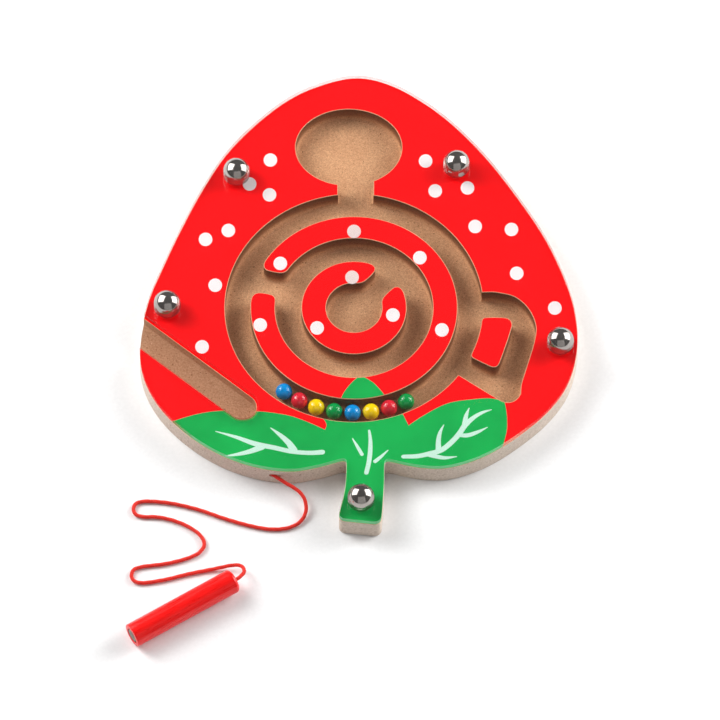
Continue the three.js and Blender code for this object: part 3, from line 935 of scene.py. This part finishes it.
def make_prints(node, names, region=None):
    """Red ink on a board piece's face, and green ink where the region covers it."""
    outlines = sorted((refined(o) for o in face_outlines(node, BOARD_TOP, True)), key=width_of)
    margins = [INK_MARGIN] * len(outlines)
    if width_of(outlines[-1]) > RIM_WIDTH:
        margins[-1] = RIM_INK_MARGIN

    def slab(name, finish):
        return as_object(name, prism(outlines, [
            [(BOARD_TOP, margin), (BOARD_TOP + INK, margin)] for margin in margins
        ]), [look[finish]])

    def block(grow):
        outline = chained(region, REGION_STEPS)
        if sum(a.cross(b) for a, b in zip(outline, [*outline[1:], outline[0]])) < 0:
            outline.reverse()
        return as_object("block", prism([outline], [(BOARD_TOP - OVERCUT, -grow),
                                                    (BOARD_TOP + OVERCUT, -grow)]))

    red = slab(names[0], "red_ink")
    if region:
        combine(red, block(COLOUR_GAP), "DIFFERENCE")
        green = combine(slab(names[1], "green_ink"), block(0), "INTERSECT")
        add_piece(green, "board")
    add_piece(red, "board")


def make_dots(name, places, finish="white_ink"):
    whole = bmesh.new()
    for x, y in places:
        dot = prism([circle(x, y, *DOT_SIZE, DOT_SIDES)],
                    [(BOARD_TOP + INK, 0), (BOARD_TOP + SECOND_COAT, DOT_BREAK)])
        mesh = bpy.data.meshes.new("dot")
        dot.to_mesh(mesh)
        dot.free()
        whole.from_mesh(mesh)
        bpy.data.meshes.remove(mesh)
    add_piece(as_object(name, whole, [look[finish]]), "board")


def stroke(knots):
    """A brush stroke's outline: round where it starts or ends wide, pointed where narrow."""
    run = smooth_run(knots, STROKE_STEPS)
    left, right = [], []
    for i, point in enumerate(run):
        ahead = (run[min(i + 1, len(run) - 1)] - run[max(i - 1, 0)]).xy.normalized()
        normal = Vector((-ahead.y, ahead.x))
        left.append(point.xy + normal * point.z / 2)
        right.append(point.xy - normal * point.z / 2)

    def cap(point, before, wide):
        out = (point.xy - before.xy).normalized()
        start = math.atan2(out.x, -out.y)
        turns = [start - math.pi * i / STROKE_STEPS for i in range(1, STROKE_STEPS)]
        return [point.xy + Vector((math.cos(a), math.sin(a))) * wide / 2 for a in turns]

    outline = [*left, *cap(run[-1], run[-2], run[-1].z), *reversed(right),
               *cap(run[0], run[1], run[0].z)]
    return outline[::-1]


def make_veins():
    veins = None
    for knots in VEINS:
        line = as_object("vein", prism([stroke(knots)], [(BOARD_TOP + INK, 0),
                                                         (BOARD_TOP + SECOND_COAT, 0)]))
        veins = combine(veins, line, "UNION") if veins else line
    veins.name = "leaf_veins"
    veins.data.materials.clear()
    veins.data.materials.append(look["vein_ink"])
    add_piece(veins, "board")


def make_cover():
    outlines = [refined(o) for o in face_outlines("clear_cover", COVER_BOTTOM, False)]
    cover = as_object("cover_sheet", prism(outlines, [
        (COVER_BOTTOM, COVER_BREAK), (COVER_BOTTOM + COVER_BREAK, 0),
        (COVER_TOP - COVER_BREAK, 0), (COVER_TOP, COVER_BREAK),
    ]), [look["acrylic"], look["acrylic_edge"]])
    for face in cover.data.polygons:
        face.material_index = 0 if abs(face.normal.z) > LEVEL else 1
    add_piece(cover, "board", ["clear_cover"])


def make_nut(name, node, x, y):
    bore, depth = NUT_BORE
    profile = [
        (0, depth + NUT_BORE_POINT), (bore, depth), (bore, NUT_ROUND), (bore + NUT_ROUND, 0),
        (NUT_RADIUS - NUT_FOOT, 0), *arc(NUT_RADIUS - NUT_ROUND, NUT_ROUND, NUT_ROUND, -60, 0, 4),
        *((NUT_RADIUS + radius, NUT_SKIRT + height) for radius, height in NUT_GROOVE),
        *arc(0, NUT_SKIRT, NUT_RADIUS, 3, 87, 22), (0, NUT_SKIRT + NUT_RADIUS),
    ]
    nut = lathe(profile, NUT_SIDES)
    nut.transform(Matrix.Translation((x, y, COVER_TOP)))
    add_piece(as_object(name, nut, [look["nickel"]]), "board", [node])


def make_screw(name, node, x, y):
    top, neck = SCREW_TOP, SCREW_SHANK_RADIUS
    profile = [
        (0, SCREW_HEAD_BOTTOM),
        *((SCREW_HEAD_RADIUS + radius, SCREW_HEAD_BOTTOM + height)
          for radius, height in SCREW_HEAD_EDGE),
        (neck, SCREW_SEAT),
    ]
    height = THREAD_START
    while height < top - THREAD_RUNOUT:
        profile += [(neck, height), (neck - THREAD_DEPTH, height + THREAD_PITCH / 2),
                    (neck, height + THREAD_PITCH)]
        height += THREAD_PITCH
    profile += [(neck - SCREW_END, top), (0, top)]
    screw = as_object(name, lathe(profile, SCREW_SIDES), [look["steel"]])
    for turn in (0, math.pi / 2):
        blade = bmesh.new()
        bmesh.ops.create_cube(blade, size=1)
        for vert in blade.verts:
            length, width, height = RECESS_DEEP if vert.co.z > 0 else RECESS_MOUTH
            vert.co = Vector((vert.co.x * length, vert.co.y * width,
                              SCREW_HEAD_BOTTOM + height))
        blade.transform(Matrix.Rotation(turn + RECESS_TURN, 4, "Z"))
        cut(screw, blade)
    screw.data.transform(Matrix.Translation((x, y, 0)))
    add_piece(screw, "board", [node])


def make_beads():
    for i, shade in enumerate(BEAD_COLOURS):
        node = f"bead_{i + 1}"
        low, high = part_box(node)
        work = ball(BEAD_RADIUS, BEAD_CUTS)
        for vert in work.verts:
            bumpy = noise.noise(vert.co * BEAD_DENTS_PER_MM
                                + Vector((i * BEAD_NOISE_STEP, 0, 0)))
            vert.co *= 1 - BEAD_DENT * (1 + bumpy)
        work.transform(Matrix.Translation((low + high) / 2 / MM))
        bead = as_object(f"enamel_{node}", work, [look[f"bead_{shade}"]])
        add_piece(bead, node, [node])


def make_pen():
    place = (Matrix.Translation(PEN_TIP) @ Matrix.Rotation(PEN_YAW, 4, "Z")
             @ Matrix.Rotation(math.pi / 2, 4, "Y"))
    shoulder, hole = PEN_RADIUS - PEN_TIP_ROUND, CORD_HOLE_RADIUS
    back, bottom = PEN_LENGTH, PEN_LENGTH - PEN_HOLE_DEPTH
    wider, deeper = PEN_HOLE_BREAK
    barrel = lathe([
        (0, PEN_BORE_DEPTH), (MAGNET_BORE, PEN_BORE_DEPTH), (MAGNET_BORE, PEN_BORE_BREAK),
        (MAGNET_BORE + PEN_BORE_BREAK, 0), (shoulder, 0),
        *arc(shoulder, PEN_TIP_ROUND, PEN_TIP_ROUND, -72, 0, 5),
        *((PEN_RADIUS, z) for z in PEN_RINGS),
        *arc(PEN_RADIUS - PEN_END_ROUND, back - PEN_END_ROUND, PEN_END_ROUND, 0, 85, 9),
        (hole + wider, back), (hole, back - deeper), (hole, bottom), (0, bottom),
    ], PEN_SIDES)
    for vert in barrel.verts:
        if vert.co.xy.length > PEN_RADIUS - PEN_SKIN:
            x, y, z = vert.co
            sway = noise.noise(Vector((x * PEN_SWAY_ACROSS, y * PEN_SWAY_ACROSS,
                                       z * PEN_SWAY_ALONG)))
            vert.co.xy *= 1 - PEN_SWAY * (1 + sway)
    barrel.transform(place)
    add_piece(as_object("pen_body", barrel, [look["pen_red"]]), "pen",
              ["pen_barrel"])
    disc = lathe([
        (0, MAGNET_DISH), *((MAGNET_RADIUS + radius, height) for radius, height in MAGNET_EDGE),
        (MAGNET_RADIUS, MAGNET_LENGTH - MAGNET_BACK_BREAK),
        (MAGNET_RADIUS - MAGNET_BACK_BREAK, MAGNET_LENGTH), (0, MAGNET_LENGTH),
    ], MAGNET_SIDES)
    disc.transform(place)
    add_piece(as_object("pen_magnet_disc", disc, [look["magnet"]]), "pen",
              ["pen_magnet"])


def make_floor():
    work = bmesh.new()
    bmesh.ops.create_grid(work, x_segments=FLOOR_DIVISIONS, y_segments=FLOOR_DIVISIONS,
                          size=FLOOR_REACH)
    work.transform(Matrix.Translation((0, 0, -FLOOR_DROP)))
    floor = as_object("floor", work, [look["floor"]])
    floor.data.transform(Matrix.Scale(MM, 4))


# ---- Scene ----------------------------------------------------------------------------------

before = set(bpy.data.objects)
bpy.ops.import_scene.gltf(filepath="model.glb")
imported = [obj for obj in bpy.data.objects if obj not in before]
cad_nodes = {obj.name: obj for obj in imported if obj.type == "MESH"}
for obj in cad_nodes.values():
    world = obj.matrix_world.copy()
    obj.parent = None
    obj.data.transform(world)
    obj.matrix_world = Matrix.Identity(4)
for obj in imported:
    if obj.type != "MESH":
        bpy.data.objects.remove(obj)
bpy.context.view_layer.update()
add_camera()
add_lamps()
look = make_materials()
cord, cord_path = make_cord()

nut_names = sorted(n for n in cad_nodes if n.startswith("dome_nut_"))
fasteners = [((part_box(n)[0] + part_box(n)[1]) / 2 / MM).xy for n in nut_names]

make_base()
routed("maze_board", "maze_frame", cord_hole=True)
routed("middle_ring_board", "middle_ring")
routed("inner_ring_board", "inner_ring")
routed("island_board", "pocket_island")
make_prints("maze_frame", ["berry_red", "leaf_green"], LEAF_EDGE)
make_prints("middle_ring", ["middle_ring_red", "middle_ring_green"], TRIANGLE_EDGE)
make_prints("inner_ring", ["inner_ring_red"])
make_prints("pocket_island", ["island_red"])
make_dots("berry_dots", FRAME_DOTS)
make_dots("middle_ring_dots", MIDDLE_DOTS)
make_dots("inner_ring_dots", INNER_DOTS)
make_dots("greyer_dots", GREYER_DOTS, "greyer_white_ink")
make_veins()
make_cover()
for number, (x, y) in enumerate(fasteners, 1):
    make_nut(f"polished_nut_{number}", f"dome_nut_{number}", x, y)
    make_screw(f"countersunk_screw_{number}", f"back_screw_{number}", x, y)
make_beads()
make_pen()
make_floor()
